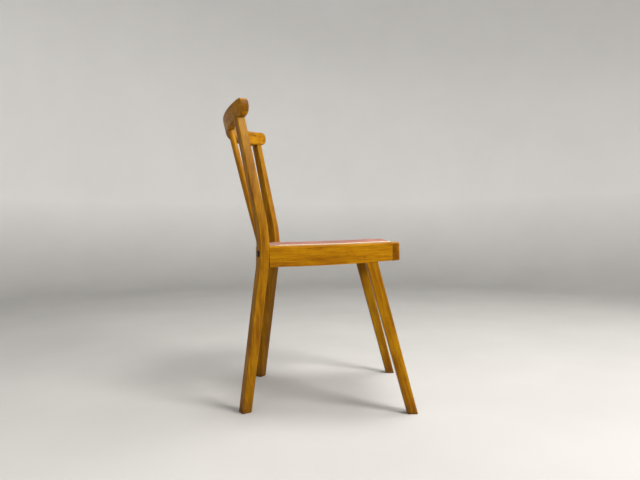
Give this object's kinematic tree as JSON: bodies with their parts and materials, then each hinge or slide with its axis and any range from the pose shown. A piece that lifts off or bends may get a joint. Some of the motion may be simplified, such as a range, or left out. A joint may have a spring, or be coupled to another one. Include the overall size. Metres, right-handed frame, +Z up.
{
  "type": "dining chair",
  "caption": "Wooden dining chair with splayed legs, round back spindles under a bowed crest rail, and a piped drop-in seat pad.",
  "frame": {"origin": "on the floor, centred across the chair and halfway between the front of the front feet and the back of the crest rail", "axes": "+X towards the sitter's left, +Y towards the back of the chair, +Z up"},
  "size_m": [0.4472, 0.5287, 0.8243],
  "materials": {
    "stained_wood": "golden brown stain, worn satin lacquer",
    "plain_wood": "bare",
    "plywood": "bare plywood",
    "foam": "polyurethane foam",
    "seat_vinyl": "brick red vinyl leathercloth, satin",
    "piping_vinyl": "cream vinyl cord",
    "dark_steel": "dark bronze tint",
    "zinc_steel": "zinc plated"
  },
  "bodies": {
    "root": {"rear_leg_left": "stained_wood", "rear_leg_right": "stained_wood", "crest_rail": "stained_wood", "back_spindle_left": "stained_wood", "back_spindle_middle": "stained_wood", "back_spindle_right": "stained_wood", "side_rail_left": "stained_wood", "side_rail_right": "stained_wood", "front_rail": "stained_wood", "rear_rail": "stained_wood", "front_leg_left": "stained_wood", "front_leg_right": "stained_wood", "rear_block_left": "plain_wood", "rear_block_right": "plain_wood", "front_block_left": "plain_wood", "front_block_right": "plain_wood", "frame_dowels": "plain_wood", "seat_panel": "plywood", "seat_foam": "foam", "seat_cover": "seat_vinyl", "seat_piping": "piping_vinyl", "rear_leg_bolts": "dark_steel", "rear_leg_washers": "zinc_steel", "rear_leg_nuts": "zinc_steel", "front_leg_screws": "zinc_steel", "block_screws": "zinc_steel", "cover_tacks": "zinc_steel"}
  },
  "joints": []
}
